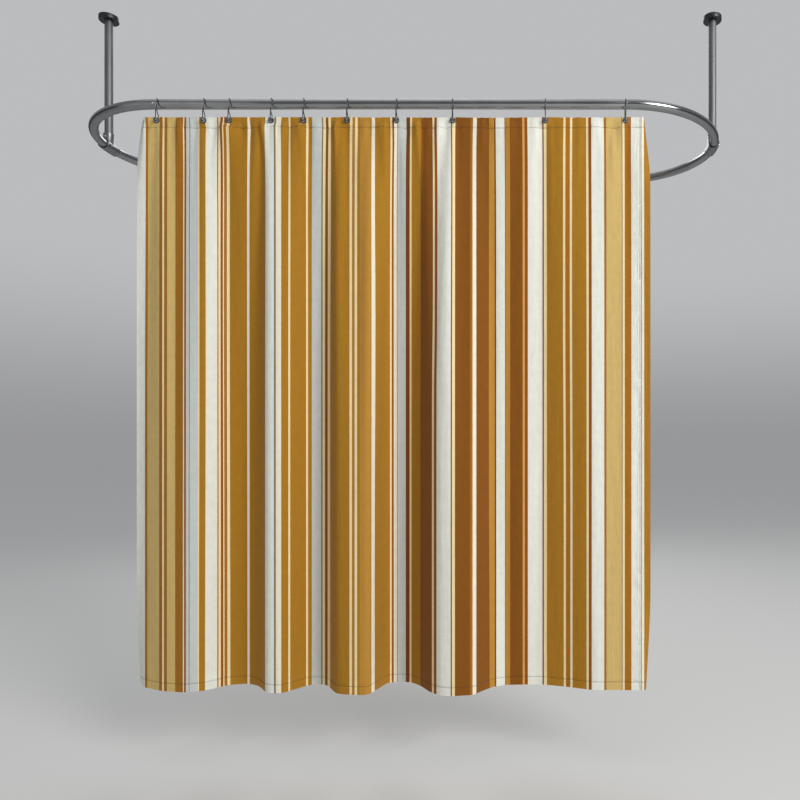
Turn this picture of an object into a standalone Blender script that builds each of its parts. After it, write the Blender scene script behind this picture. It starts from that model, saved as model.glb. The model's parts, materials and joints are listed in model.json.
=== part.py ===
"""Striped shower curtain hung by ten wire hooks from an oval, ceiling-hung ring rail.

Metres, +Z up. The origin is on the ceiling, midway between the two posts. X runs along the
front rail, and the front rail and the curtain are on the -Y side.
"""
import math

import bmesh
import bpy
from mathutils import Matrix, Vector

# ring rail
RING_LENGTH = 2.19          # between the tube's centre lines at the two tees
RING_WIDTH = 0.63           # between the centre lines of the front and rear tubes
BEND_REACH = 0.345          # how far each bend runs along X
RAIL_RADIUS = 0.015
RAIL_WALL = 0.0015
RAIL_DROP = 0.472           # ceiling down to the rail's centre line
SPIGOT_LENGTH = 0.040       # narrowed end of a bend inside the straight tube
SPIGOT_ROOT = 0.005         # how far the narrowed end's metal starts inside the bend
BEND_LEAD = 0.004           # straight start of a bend, so that its end is square

# posts, tees and ceiling fittings
POST_RADIUS = 0.014
POST_WALL = 0.0015
TEE_WALL = 0.004
TEE_HALF_LENGTH = 0.036     # tee sleeve, each way from the post
SOCKET_HEIGHT = 0.046       # tee socket above the rail's centre line
SOCKET_WEB = 0.004          # metal left between the rail passage and the post's bore
COVER_RADIUS = 0.033
COVER_HEIGHT = 0.016
COVER_WALL = 0.0015
COVER_EDGE = 0.002          # bevel round the cover's visible rim
PLATE_THICKNESS = 0.003
BOSS_LENGTH = 0.026
CEILING_SCREW_RADIUS = 0.002
CEILING_SCREW_HEAD = 0.004
CEILING_SCREW_HEAD_HEIGHT = 0.0024
CEILING_SCREW_DRIVE = 0.0011    # radius of the recess for the driver
SET_SCREW_RADIUS = 0.0022
SET_SCREW_HEAD = 0.0036
SET_SCREW_HEAD_HEIGHT = 0.0022
SET_SCREW_KEY_DEPTH = 0.0015
SCREW_TAPER = 0.8           # a head's outer radius against its seat's

# hooks, closing balls and eyelets
WIRE_RADIUS = 0.0015
HOOK_PLAY = 0.0012          # clear gap between the rail and a hook
# shares of the drop from the rail's centre line to the eyelet
HOOK_TOP = 0.15             # where both legs start to turn over the rail
FRONT_KNEE = 0.475          # where the front leg has come forward to the rail
FRONT_RISE = 0.22           # length of the front leg that stands straight on the ball
REAR_KNEE = 0.61            # where the rear leg turns in towards the eyelet
REAR_BELLY = 0.62           # rear leg behind the eyelet, as a share of its reach
HOOK_END_MARGIN = 0.005     # first and last hook, in from the straight tube's ends
HOOK_SHARES = (0.0, 0.100, 0.154, 0.244, 0.313, 0.406, 0.511, 0.631, 0.829, 1.0)
BALL_RADIUS = 0.0065
BALL_SOCKET_DEPTH = 0.003
EYELET_HOLE = 0.005
EYELET_BARREL = 0.0062
EYELET_RIM = 0.0095
EYELET_RIM_THICKNESS = 0.0008
EYELET_BELOW_EDGE = 0.011   # top edge of the cloth down to the eyelet's centre

# curtain
CURTAIN_DROP = 0.0405       # rail's centre line down to the cloth's top edge
CURTAIN_HEIGHT = 1.83
FIRST_INSET = 0.032         # cloth left of the first hook
LAST_INSET = 0.056          # cloth right of the last hook
CLOTH_THICKNESS = 0.0012
PANEL_LEAD = 0.020          # cloth left of each hook that still belongs to that hook's panel
FLAT_HEM = 0.034            # flat strip along the top edge
SIDE_FLARE = 0.034          # how much wider the hang is at the bottom, as a share of its width
FOLD_DEPTH = 0.055
FOLD_GROWTH = 0.22          # share of the height over which the folds open up
COLUMN_STEP = 0.028
LOWER_ROWS = (0.06, 0.13, 0.24, 0.40, 0.60, 0.80, 1.0)
# where each fold lies across the hang, and how far back (+) or forward (-) it stands
FOLDS = ((0.0, 0.4), (0.10, -0.6), (0.20, 0.9), (0.27, -0.6), (0.355, 0.6), (0.425, -0.9),
         (0.52, 1.1), (0.62, -1.1), (0.755, 0.9), (0.90, -0.1), (1.0, -0.3))

# clearances
GAP = 0.0003                # between pieces that touch
PANEL_GAP = 0.0006          # between one cloth panel and the next
EYELET_FIT = 0.00045        # between an eyelet's barrel and the cloth
PLATE_FIT = 0.0025          # between a ceiling plate and the cover's wall
SCREW_ROOM = 0.002          # between a ceiling screw's head and the post
CUT_PAST = 0.006            # how far a cutter runs past the face that it opens
SLIDE_FIT = 0.0004          # spigots, bosses and posts in their tubes

TUBE_SIDES = 24
SCREW_SIDES = 16
EYELET_SIDES = 12
BALL_SIDES = 10
BALL_RINGS = 6
BEND_STEPS = 7              # straight steps in each quarter of a bend
HOOK_STEPS = 8              # straight steps of a hook over the rail
MEAN_STEPS = 200            # samples across the hang for the folds' mean depth

post_x = RING_LENGTH / 2
straight_half = post_x - BEND_REACH
rail_y = RING_WIDTH / 2
rail_bore = RAIL_RADIUS - RAIL_WALL
tee_radius = RAIL_RADIUS + GAP + TEE_WALL
socket_radius = POST_RADIUS + SLIDE_FIT + TEE_WALL
post_bore = POST_RADIUS - POST_WALL
socket_floor = RAIL_RADIUS + GAP + SOCKET_WEB
plate_radius = COVER_RADIUS - COVER_WALL - PLATE_FIT
screw_ring = POST_RADIUS + SCREW_ROOM + CEILING_SCREW_HEAD
screw_shifts = {"left": -screw_ring, "right": screw_ring}
front_axis = Vector((0, -rail_y, -RAIL_DROP))

hook_span = 2 * (straight_half - HOOK_END_MARGIN)
hook_x = [-hook_span / 2 + share * hook_span for share in HOOK_SHARES]
hook_reach = RAIL_RADIUS + HOOK_PLAY + WIRE_RADIUS
eyelet_drop = CURTAIN_DROP + EYELET_BELOW_EDGE
eyelet_face = CLOTH_THICKNESS / 2 + GAP + EYELET_RIM_THICKNESS
ball_y = -(eyelet_face + GAP + BALL_RADIUS)

cloth_left = hook_x[0] - FIRST_INSET
cloth_right = hook_x[-1] + LAST_INSET
cloth_width = cloth_right - cloth_left
cloth_rows = (0.0, FLAT_HEM / CURTAIN_HEIGHT) + LOWER_ROWS


# ---- scene, materials and small helpers

def clear_scene():
    for item in list(bpy.data.objects):
        bpy.data.objects.remove(item, do_unlink=True)


def new_collection(name):
    collection = bpy.data.collections.new(name)
    bpy.context.scene.collection.children.link(collection)
    return collection


def make_material(name, color, roughness, metallic):
    material = bpy.data.materials.new(name)
    material.use_nodes = True
    shader = material.node_tree.nodes["Principled BSDF"]
    shader.inputs["Base Color"].default_value = (*color, 1)
    shader.inputs["Roughness"].default_value = roughness
    shader.inputs["Metallic"].default_value = metallic
    material.diffuse_color = (*color, 1)
    return material


def add_object(name, mesh, collection, location=(0, 0, 0)):
    item = bpy.data.objects.new(name, mesh)
    item.location = location
    collection.objects.link(item)
    return item


def finish(item, material, sharp_degrees=40):
    item.data.materials.append(material)
    item.data.shade_smooth()
    item.data.set_sharp_from_angle(angle=math.radians(sharp_degrees))
    return item


def cylinder_mesh(name, radius, start, end, sides=TUBE_SIDES, end_radius=None):
    """A capped cylinder, or a cone, between two points."""
    start, end = Vector(start), Vector(end)
    axis = end - start
    shape = bmesh.new()
    bmesh.ops.create_cone(shape, cap_ends=True, segments=sides, radius1=radius,
                          radius2=radius if end_radius is None else end_radius,
                          depth=axis.length)
    turn = Vector((0, 0, 1)).rotation_difference(axis.normalized()).to_matrix().to_4x4()
    place = Matrix.Translation((start + end) / 2) @ turn
    bmesh.ops.transform(shape, matrix=place, verts=shape.verts)
    mesh = bpy.data.meshes.new(name)
    shape.to_mesh(mesh)
    shape.free()
    return mesh


def bent_tube(name, points, radius, collection, resolution=6):
    """A POLY curve with a round bevel, made into a closed mesh."""
    curve = bpy.data.curves.new(name, "CURVE")
    curve.dimensions = "3D"
    curve.resolution_u = 1
    curve.render_resolution_u = 0
    curve.bevel_depth = radius
    curve.bevel_resolution = resolution
    curve.use_fill_caps = True
    spline = curve.splines.new("POLY")
    spline.points.add(len(points) - 1)
    for point, place in zip(spline.points, points):
        point.co = (*place, 1)
    guide = bpy.data.objects.new(name + "_curve", curve)
    collection.objects.link(guide)
    graph = bpy.context.evaluated_depsgraph_get()
    mesh = bpy.data.meshes.new_from_object(guide.evaluated_get(graph))
    shape = bmesh.new()
    shape.from_mesh(mesh)
    bmesh.ops.remove_doubles(shape, verts=shape.verts, dist=0.00001)
    bmesh.ops.recalc_face_normals(shape, faces=shape.faces)
    shape.to_mesh(mesh)
    shape.free()
    mesh.name = name
    item = add_object(name, mesh, collection)
    item.matrix_world = guide.matrix_world
    bpy.data.objects.remove(guide, do_unlink=True)
    bpy.data.curves.remove(curve)
    return item


def add_cutter(name, mesh, location=(0, 0, 0)):
    cutter = add_object(name, mesh, cutters, location)
    mark_as_cutter(cutter)
    return cutter


def mark_as_cutter(item):
    item.hide_render = True
    item.display_type = "WIRE"


def combine(item, other, operation):
    modifier = item.modifiers.new(other.name, "BOOLEAN")
    modifier.operation = operation
    modifier.object = other


def turned(name, profile, steps, collection, location=(0, 0, 0)):
    """A closed (radius, height) outline turned about Z."""
    mesh = bpy.data.meshes.new(name)
    points = [(radius, 0, height) for radius, height in profile]
    edges = [(i, (i + 1) % len(points)) for i in range(len(points))]
    mesh.from_pydata(points, edges, [])
    item = add_object(name, mesh, collection, location)
    screw = item.modifiers.new("turn", "SCREW")
    screw.steps = steps
    screw.render_steps = steps
    screw.use_merge_vertices = True
    screw.merge_threshold = 0.00001
    return item


# ---- ring rail

def bend_path(side):
    """Centre line of one U-shaped bend, from the front tube round to the rear tube."""
    sleeve_turn = math.asin(TEE_HALF_LENGTH / rail_y)
    quarter = [sleeve_turn + (math.pi / 2 - sleeve_turn) * step / BEND_STEPS
               for step in range(BEND_STEPS + 1)]
    turns = [-turn for turn in reversed(quarter)] + [0.0] + quarter
    return [Vector((side * (straight_half + BEND_REACH * math.cos(turn)),
                    rail_y * math.sin(turn), -RAIL_DROP)) for turn in turns]


def make_straight_rail(name, y):
    half = straight_half
    centre = (0, y, -RAIL_DROP)
    rail = add_object(name, cylinder_mesh(name, RAIL_RADIUS, (-half, 0, 0), (half, 0, 0)),
                      parts, centre)
    over = half + SPIGOT_LENGTH
    bore = cylinder_mesh(name + "_bore", rail_bore, (-over, 0, 0), (over, 0, 0))
    combine(rail, add_cutter(name + "_bore", bore, centre), "DIFFERENCE")
    return finish(rail, rail_steel)


def make_bend(name, side):
    """Bend with narrowed ends that push into the two straight tubes."""
    path = bend_path(side)
    butt = Vector((side * GAP, 0, 0))
    lead = Vector((side * BEND_LEAD, 0, 0))
    ends = [path[0] + butt, path[-1] + butt]
    around = [ends[0], path[0] + lead] + path[1:-1] + [path[-1] + lead, ends[1]]
    bend = bent_tube(name, around, RAIL_RADIUS, parts)
    inward = Vector((-side, 0, 0))
    spigot_radius = rail_bore - SLIDE_FIT
    for place, end in zip(("front", "rear"), ends):
        label = f"{name}_{place}_spigot"
        spigot = cylinder_mesh(label, spigot_radius, end - inward * SPIGOT_ROOT,
                               end + inward * SPIGOT_LENGTH)
        combine(bend, add_cutter(label, spigot), "UNION")
    past = inward * (SPIGOT_LENGTH + CUT_PAST)
    hollow = bent_tube(name + "_hollow", [ends[0] + past] + around + [ends[1] + past],
                       spigot_radius - RAIL_WALL, cutters)
    mark_as_cutter(hollow)
    combine(bend, hollow, "DIFFERENCE")
    return finish(bend, rail_steel)


def make_tee(name, side):
    """Sleeve around the bend's middle with a socket for the post on top of it."""
    path = bend_path(side)
    middle = len(path) // 2
    tee = bent_tube(name, path[middle - 1:middle + 2], tee_radius, parts)
    base = Vector((side * post_x, 0, -RAIL_DROP))
    up = Vector((0, 0, 1))
    socket = cylinder_mesh(name + "_socket", socket_radius, base, base + up * SOCKET_HEIGHT)
    combine(tee, add_cutter(name + "_socket", socket), "UNION")
    passage = bent_tube(name + "_passage", path, RAIL_RADIUS + GAP, cutters)
    mark_as_cutter(passage)
    combine(tee, passage, "DIFFERENCE")
    bore = cylinder_mesh(name + "_bore", POST_RADIUS + SLIDE_FIT, base + up * socket_floor,
                         base + up * (SOCKET_HEIGHT + CUT_PAST))
    combine(tee, add_cutter(name + "_bore", bore), "DIFFERENCE")
    for place, (start, along) in tee_screw_seats(side).items():
        label = f"{name}_{place}_hole"
        hole = cylinder_mesh(label, SET_SCREW_RADIUS + GAP, start - along * CUT_PAST,
                             start + along * (TEE_WALL + CUT_PAST), sides=SCREW_SIDES)
        combine(tee, add_cutter(label, hole), "DIFFERENCE")
    return finish(tee, fitting_steel)


def tee_screw_seats(side):
    """Inner end and outward direction of the rail screw and of the post screw."""
    slack = 2 * GAP
    path = bend_path(side)
    middle = len(path) // 2
    in_sleeve = path[middle].lerp(path[middle - 1], 0.5)
    rail_seat = in_sleeve + Vector((RAIL_RADIUS + slack, 0, 0))
    post_seat = Vector((side * post_x, -(POST_RADIUS + slack),
                        -RAIL_DROP + (socket_floor + SOCKET_HEIGHT) / 2))
    return {"rail_screw": (rail_seat, Vector((1, 0, 0))),
            "post_screw": (post_seat, Vector((0, -1, 0)))}


def make_set_screw(name, seat):
    start, along = seat
    head_start = start + along * (TEE_WALL + GAP)
    head_end = head_start + along * SET_SCREW_HEAD_HEIGHT
    shank = cylinder_mesh(name, SET_SCREW_RADIUS, start, head_end, sides=SCREW_SIDES)
    screw = add_object(name, shank, parts)
    head = cylinder_mesh(name + "_head", SET_SCREW_HEAD, head_start, head_end, sides=SCREW_SIDES,
                         end_radius=SET_SCREW_HEAD * SCREW_TAPER)
    combine(screw, add_cutter(name + "_head", head), "UNION")
    key = cylinder_mesh(name + "_key", SET_SCREW_RADIUS * SCREW_TAPER,
                        head_end - along * SET_SCREW_KEY_DEPTH, head_end + along * CUT_PAST, sides=6)
    combine(screw, add_cutter(name + "_key", key), "DIFFERENCE")
    return finish(screw, bright_steel)


# ---- posts and ceiling fittings

def make_post(name, x):
    top = -(PLATE_THICKNESS + GAP)
    foot = -RAIL_DROP + socket_floor + GAP
    post = add_object(name, cylinder_mesh(name, POST_RADIUS, (0, 0, foot), (0, 0, top)), parts,
                      (x, 0, 0))
    bore = cylinder_mesh(name + "_bore", post_bore, (0, 0, foot - CUT_PAST),
                         (0, 0, top + CUT_PAST))
    combine(post, add_cutter(name + "_bore", bore, (x, 0, 0)), "DIFFERENCE")
    return finish(post, rail_steel)


def make_ceiling_plate(name, x):
    boss_radius = post_bore - SLIDE_FIT
    plate = turned(name, ((0.0, 0.0), (plate_radius, 0.0), (plate_radius, -PLATE_THICKNESS),
                          (boss_radius, -PLATE_THICKNESS),
                          (boss_radius, -PLATE_THICKNESS - BOSS_LENGTH),
                          (0.0, -PLATE_THICKNESS - BOSS_LENGTH)), TUBE_SIDES, parts, (x, 0, 0))
    for place, shift in screw_shifts.items():
        label = f"{name}_{place}_hole"
        hole = cylinder_mesh(label, CEILING_SCREW_RADIUS + GAP,
                             (shift, 0, -PLATE_THICKNESS - CUT_PAST), (shift, 0, CUT_PAST),
                             sides=SCREW_SIDES)
        combine(plate, add_cutter(label, hole, (x, 0, 0)), "DIFFERENCE")
    return finish(plate, bright_steel)


def make_ceiling_screw(name, x):
    """Pan head under the plate and the shank inside the plate's hole."""
    seat = -PLATE_THICKNESS - GAP
    end = seat - CEILING_SCREW_HEAD_HEIGHT
    screw = turned(name, ((0.0, -GAP), (CEILING_SCREW_RADIUS, -GAP), (CEILING_SCREW_RADIUS, seat),
                          (CEILING_SCREW_HEAD, seat), (CEILING_SCREW_HEAD * SCREW_TAPER, end),
                          (0.0, end)), SCREW_SIDES, parts, (x, 0, 0))
    drive = cylinder_mesh(name + "_drive", CEILING_SCREW_DRIVE, (0, 0, end - CUT_PAST),
                          (0, 0, (seat + end) / 2), sides=6)
    combine(screw, add_cutter(name + "_drive", drive, (x, 0, 0)), "DIFFERENCE")
    return finish(screw, bright_steel)


def make_cover(name, x):
    """Shallow cup that hides the plate and lets the post through its floor."""
    hole = POST_RADIUS + SLIDE_FIT
    rim = COVER_RADIUS
    inner = rim - COVER_WALL
    floor = -COVER_HEIGHT
    cover = turned(name, ((inner, -GAP), (rim, -GAP), (rim, floor + COVER_EDGE),
                          (rim - COVER_EDGE, floor), (hole, floor), (hole, floor + COVER_WALL),
                          (rim - COVER_EDGE, floor + COVER_WALL), (inner, floor + COVER_EDGE)),
                   TUBE_SIDES, parts, (x, 0, 0))
    return finish(cover, fitting_steel)


# ---- hooks, balls and eyelets

def soften(points):
    """Cuts each inner corner of an open line, keeping its two ends."""
    line = []
    for start, end in zip(points, points[1:]):
        line += [start.lerp(end, 0.25), start.lerp(end, 0.75)]
    return [points[0]] + line[1:-1] + [points[-1]]


def hook_path():
    """Wire from the ball's top, up in front, over the rail and down behind into the ball."""
    ball = Vector((0, ball_y, -eyelet_drop))
    top_entry = ball + Vector((0, 0, BALL_RADIUS - BALL_SOCKET_DEPTH + GAP))
    back_entry = ball + Vector((0, BALL_RADIUS - BALL_SOCKET_DEPTH + GAP, 0))
    front = [top_entry, top_entry + Vector((0, 0, eyelet_drop * FRONT_RISE)),
             Vector((0, -hook_reach, -eyelet_drop * FRONT_KNEE)),
             Vector((0, -hook_reach, -eyelet_drop * HOOK_TOP))]
    rear = [Vector((0, hook_reach, -eyelet_drop * HOOK_TOP)),
            Vector((0, hook_reach, -eyelet_drop * REAR_KNEE)),
            Vector((0, hook_reach * REAR_BELLY, -eyelet_drop)), back_entry]
    turns = [math.pi * (1 - step / HOOK_STEPS) for step in range(HOOK_STEPS + 1)]
    over = [Vector((0, hook_reach * math.cos(turn), hook_reach * math.sin(turn))) for turn in turns]
    return soften(front) + over + soften(rear)


def make_hook(name, x, path):
    hook = bent_tube(name, path, WIRE_RADIUS, parts, resolution=1)
    hook.location = (x, front_axis.y, front_axis.z)
    return finish(hook, hook_steel, sharp_degrees=70)


def make_ball(name, x):
    shape = bmesh.new()
    bmesh.ops.create_uvsphere(shape, u_segments=BALL_SIDES, v_segments=BALL_RINGS,
                              radius=BALL_RADIUS)
    centre = Vector((0, ball_y, -eyelet_drop))
    bmesh.ops.translate(shape, verts=shape.verts, vec=centre)
    mesh = bpy.data.meshes.new(name)
    shape.to_mesh(mesh)
    shape.free()
    location = (x, front_axis.y, front_axis.z)
    ball = add_object(name, mesh, parts, location)
    for place, way in (("top", Vector((0, 0, 1))), ("back", Vector((0, 1, 0)))):
        label = f"{name}_{place}_socket"
        socket = cylinder_mesh(label, WIRE_RADIUS + GAP,
                               centre + way * (BALL_RADIUS - BALL_SOCKET_DEPTH),
                               centre + way * (BALL_RADIUS + CUT_PAST), sides=8)
        combine(ball, add_cutter(label, socket, location), "DIFFERENCE")
    return finish(ball, ball_metal, sharp_degrees=60)


def make_eyelet(name, x):
    rim_back = eyelet_face
    rim_front = eyelet_face - EYELET_RIM_THICKNESS
    eyelet = turned(name, ((EYELET_HOLE, rim_back), (EYELET_RIM, rim_back), (EYELET_RIM, rim_front),
                           (EYELET_BARREL, rim_front), (EYELET_BARREL, -rim_front),
                           (EYELET_RIM, -rim_front), (EYELET_RIM, -rim_back),
                           (EYELET_HOLE, -rim_back)), EYELET_SIDES, parts)
    eyelet.rotation_euler = (math.radians(90), 0, 0)
    eyelet.location = (x, front_axis.y, front_axis.z - eyelet_drop)
    return finish(eyelet, eyelet_metal)


# ---- curtain

def fold_shape(share):
    """Depth of the folds at a share of the width, eased from one fold to the next."""
    for (left, left_depth), (right, right_depth) in zip(FOLDS, FOLDS[1:]):
        if share <= right:
            ease = 0.5 - 0.5 * math.cos(math.pi * (share - left) / (right - left))
            return left_depth + (right_depth - left_depth) * ease
    return FOLDS[-1][1]


mean_fold = sum(fold_shape((i + 0.5) / MEAN_STEPS) for i in range(MEAN_STEPS)) / MEAN_STEPS


def cloth_point(x, height_share):
    """Place of the cloth's mid-surface, from its x at the top and its share of the height."""
    drop = height_share * CURTAIN_HEIGHT
    below_hem = max(0.0, drop - FLAT_HEM)
    opened = 1 - math.exp(-below_hem / (FOLD_GROWTH * CURTAIN_HEIGHT))
    share = min(1.0, max(0.0, (x - cloth_left) / cloth_width))
    depth = FOLD_DEPTH * opened * (fold_shape(share) - mean_fold)
    middle = (cloth_left + cloth_right) / 2
    spread = middle + (x - middle) * (1 + SIDE_FLARE * opened)
    return Vector((spread, depth, -CURTAIN_DROP - drop))


def make_panel(name, index):
    """One hook's stretch of the cloth, with the eyelet's hole in its flat hem."""
    x = hook_x[index]
    last = index == len(hook_x) - 1
    left = cloth_left if index == 0 else x - PANEL_LEAD + PANEL_GAP / 2
    right = cloth_right if last else hook_x[index + 1] - PANEL_LEAD - PANEL_GAP / 2
    columns = max(3, round((right - left) / COLUMN_STEP))
    origin = Vector((x, 0, 0))
    points = [cloth_point(left + (right - left) * column / columns, share) - origin
              for share in cloth_rows for column in range(columns + 1)]
    wide = columns + 1
    faces = [(row * wide + column, (row + 1) * wide + column, (row + 1) * wide + column + 1,
              row * wide + column + 1)
             for row in range(len(cloth_rows) - 1) for column in range(columns)]
    mesh = bpy.data.meshes.new(name)
    mesh.from_pydata(points, [], faces)
    location = (x, front_axis.y, front_axis.z)
    panel = add_object(name, mesh, parts, location)
    thicken = panel.modifiers.new("thickness", "SOLIDIFY")
    thicken.thickness = CLOTH_THICKNESS
    thicken.offset = 0
    hole = cylinder_mesh(name + "_hole", EYELET_BARREL + EYELET_FIT,
                         (0, -CUT_PAST, -eyelet_drop), (0, CUT_PAST, -eyelet_drop),
                         sides=SCREW_SIDES)
    combine(panel, add_cutter(name + "_hole", hole, location), "DIFFERENCE")
    return finish(panel, cloth_colors[index % len(cloth_colors)], sharp_degrees=50)


# ---- build

clear_scene()
parts = new_collection("shower_curtain")
cutters = new_collection("cutters")

rail_steel = make_material("rail_steel", (0.10, 0.105, 0.11), 0.38, 1.0)
fitting_steel = make_material("fitting_steel", (0.06, 0.062, 0.066), 0.45, 1.0)
bright_steel = make_material("bright_steel", (0.62, 0.62, 0.62), 0.3, 1.0)
hook_steel = make_material("hook_steel", (0.05, 0.055, 0.055), 0.35, 1.0)
ball_metal = make_material("ball_metal", (0.14, 0.145, 0.16), 0.35, 1.0)
eyelet_metal = make_material("eyelet_metal", (0.25, 0.25, 0.26), 0.3, 1.0)
cloth_colors = [make_material("cloth_ochre", (0.40, 0.19, 0.03), 0.85, 0.0),
                make_material("cloth_ivory", (0.80, 0.79, 0.71), 0.85, 0.0),
                make_material("cloth_brown", (0.26, 0.09, 0.015), 0.85, 0.0)]

make_straight_rail("front_rail_tube", -rail_y)
make_straight_rail("rear_rail_tube", rail_y)
for side_name, side in (("left", -1), ("right", 1)):
    make_bend(f"{side_name}_bend_tube", side)
    make_tee(f"{side_name}_tee_fitting", side)
    for place, seat in tee_screw_seats(side).items():
        make_set_screw(f"{side_name}_tee_{place}", seat)
    make_post(f"{side_name}_post_tube", side * post_x)
    make_ceiling_plate(f"{side_name}_ceiling_plate", side * post_x)
    make_cover(f"{side_name}_flange_cover", side * post_x)
    for place, shift in screw_shifts.items():
        make_ceiling_screw(f"{side_name}_ceiling_screw_{place}", side * post_x + shift)

wire_path = hook_path()
swing_axis = bpy.data.objects.new("curtain_swing_axis", None)
swing_axis.location = front_axis
parts.objects.link(swing_axis)
for index, x in enumerate(hook_x):
    number = f"{index + 1:02d}"
    moving = [make_hook(f"hook_wire_{number}", x, wire_path),
              make_ball(f"hook_ball_{number}", x),
              make_eyelet(f"eyelet_{number}", x),
              make_panel(f"curtain_panel_{number}", index)]
    for item in moving:
        item.parent = swing_axis
        item.matrix_parent_inverse = Matrix.Translation(-front_axis)
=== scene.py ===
import json
import math

import bmesh
import bpy
import numpy as np
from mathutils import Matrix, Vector


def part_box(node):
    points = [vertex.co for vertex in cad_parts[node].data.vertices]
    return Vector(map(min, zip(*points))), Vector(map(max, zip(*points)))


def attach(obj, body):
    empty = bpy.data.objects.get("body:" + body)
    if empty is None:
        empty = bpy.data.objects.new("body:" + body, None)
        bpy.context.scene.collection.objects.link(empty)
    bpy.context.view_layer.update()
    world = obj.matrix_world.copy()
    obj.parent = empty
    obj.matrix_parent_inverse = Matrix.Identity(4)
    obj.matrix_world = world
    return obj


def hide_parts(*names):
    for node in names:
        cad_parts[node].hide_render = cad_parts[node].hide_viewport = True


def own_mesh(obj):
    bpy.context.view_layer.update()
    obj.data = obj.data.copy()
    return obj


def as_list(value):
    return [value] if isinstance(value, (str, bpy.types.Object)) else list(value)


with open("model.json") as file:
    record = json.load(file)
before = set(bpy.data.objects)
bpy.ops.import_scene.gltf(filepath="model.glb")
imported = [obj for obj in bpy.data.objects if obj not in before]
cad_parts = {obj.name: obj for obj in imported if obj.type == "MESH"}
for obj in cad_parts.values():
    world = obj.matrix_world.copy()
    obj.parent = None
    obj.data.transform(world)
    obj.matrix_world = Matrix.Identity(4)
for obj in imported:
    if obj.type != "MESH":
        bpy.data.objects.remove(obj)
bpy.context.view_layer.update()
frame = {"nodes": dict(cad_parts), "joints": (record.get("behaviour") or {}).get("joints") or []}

for leftover in ("Cube", "Light", "Camera"):
    if leftover in bpy.data.objects:
        bpy.data.objects.remove(bpy.data.objects[leftover])

scene = bpy.context.scene
scene.view_settings.view_transform = "Standard"

# camera and lights

cameraSetup = {
    "place": (0.50, -2.541, -1.571),
    "lens": 31.5,
    "sensor": 36,
    "shift": (-0.1855, 0.0625),
    "farthest": 200,
}
cameraData = bpy.data.cameras.new("camera")
cameraData.lens = cameraSetup["lens"]
cameraData.sensor_width = cameraSetup["sensor"]
cameraData.shift_x, cameraData.shift_y = cameraSetup["shift"]
cameraData.clip_end = cameraSetup["farthest"]
camera = bpy.data.objects.new("camera", cameraData)
camera.location = cameraSetup["place"]
camera.rotation_euler = (math.radians(90), 0, 0)  # level, looking along +Y
scene.collection.objects.link(camera)
scene.camera = camera

studioLights = {
    # name: place, aims at, size, watts, colour
    "keyLight": ((4.8, -5.0, 1.4), (0.0, -0.3, -1.3), 3.6, 365, (1.0, 0.985, 0.96)),
    "fillLight": ((-3.6, -3.4, -0.4), (0.0, -0.3, -1.4), 3.2, 10, (0.96, 0.98, 1.0)),
    "rearLight": ((-0.6, 3.6, 1.6), (0.0, 0.0, -1.2), 3.0, 60, (1.0, 1.0, 1.0)),
}
for lightName, (place, target, size, watts, tint) in studioLights.items():
    lightData = bpy.data.lights.new(lightName, "AREA")
    lightData.shape = "DISK"
    lightData.size = size
    lightData.energy = watts
    lightData.color = tint
    light = bpy.data.objects.new(lightName, lightData)
    light.location = place
    light.rotation_euler = (Vector(target) - Vector(place)).to_track_quat("-Z", "Y").to_euler()
    scene.collection.objects.link(light)

# a broad lamp straight above, which brightens the floor and leaves the hanging cloth alone
topLamp = {"strength": 0.55, "spread": 70}
lampData = bpy.data.lights.new("topLamp", "SUN")
lampData.energy, lampData.angle = topLamp["strength"], math.radians(topLamp["spread"])
scene.collection.objects.link(bpy.data.objects.new("topLamp", lampData))

# node helpers and shared effects

def linear(color, share=1):
    # printed colours are written 0 to 255, and the shader wants linear light
    shares = [value / 255 for value in color]
    light = [v / 12.92 if v <= 0.04045 else ((v + 0.055) / 1.055) ** 2.4 for v in shares]
    return (*[share * value for value in light], 1)


def setSockets(tree, node, values):
    # a number, colour or vector is set on its socket, and another node's output is linked to it
    for key, value in values.items():
        if isinstance(value, bpy.types.NodeSocket):
            tree.links.new(value, node.inputs[key])
        elif value is not None:
            node.inputs[key].default_value = value


def setNode(tree, kind, values=None, **settings):
    node = tree.nodes.new(kind)
    for key, value in settings.items():
        setattr(node, key, value)
    setSockets(tree, node, values or {})
    return node


def calc(tree, operation, *values, clamp=False):
    return setNode(tree, "ShaderNodeMath", dict(enumerate(values)), operation=operation,
                   use_clamp=clamp).outputs[0]


def mixColor(tree, factor, first, second, blend="MIX"):
    return setNode(tree, "ShaderNodeMix", {0: factor, 6: first, 7: second}, data_type="RGBA",
                   blend_type=blend).outputs[2]


def noiseOf(tree, place, scale, detail=2.0, stretch=None, roughness=0.5):
    # noise at a place, which may be stretched along its three ways first
    if stretch is not None:
        place = setNode(tree, "ShaderNodeMapping", {"Vector": place, "Scale": stretch}).outputs[0]
    return setNode(tree, "ShaderNodeTexNoise", {"Vector": place, "Scale": scale, "Detail": detail,
                                                "Roughness": roughness}).outputs["Fac"]


def greyOf(tree, tone):
    # one value in all three channels of a colour
    return setNode(tree, "ShaderNodeCombineColor", {0: tone, 1: tone, 2: tone}).outputs[0]


def bumpOf(tree, height, strength, distance, under=None):
    # relief from a height, laid over another relief where there is one
    return setNode(tree, "ShaderNodeBump", {"Height": height, "Strength": strength,
                                            "Distance": distance, "Normal": under}).outputs[0]


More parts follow.
